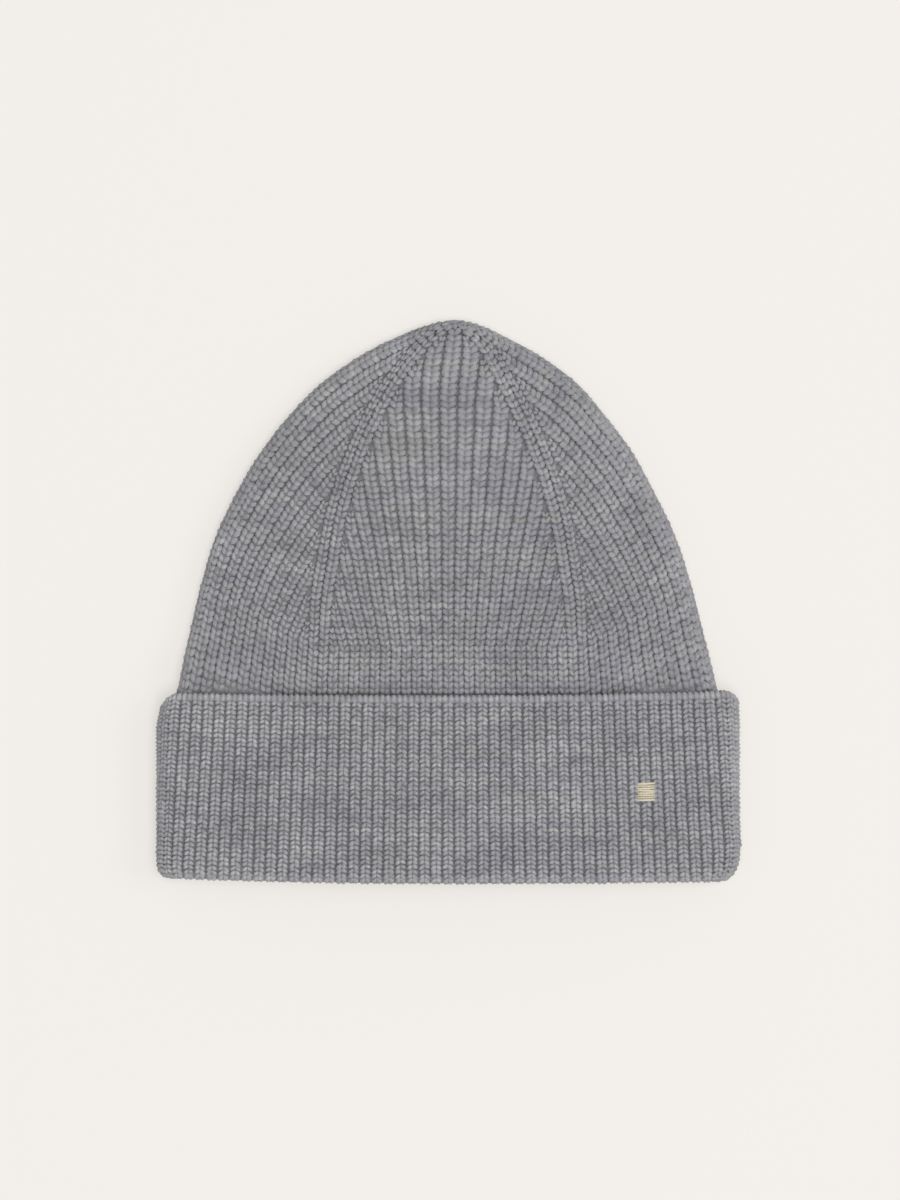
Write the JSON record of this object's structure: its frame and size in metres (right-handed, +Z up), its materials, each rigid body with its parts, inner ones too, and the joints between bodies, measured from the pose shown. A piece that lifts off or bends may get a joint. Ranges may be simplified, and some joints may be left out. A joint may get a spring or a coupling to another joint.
{
  "type": "knit beanie",
  "caption": "Grey marl wool beanie in rib knit, with a pointed fashioned crown and a deep turned-up cuff, lying flat on its back.",
  "frame": {"origin": "on the surface that the hat lies on, under the middle of its width and length", "axes": "+X to the right across the front of the hat as it is looked down on, +Y from the cuff to the tip of the crown, +Z up, out of the front face"},
  "size_m": [0.2248, 0.2166, 0.0276],
  "materials": {
    "crown_knit": "matt marled wool",
    "cuff_knit": "matt marled wool"
  },
  "bodies": {
    "root": {"crown": "crown_knit", "cuff": "cuff_knit"}
  },
  "joints": []
}
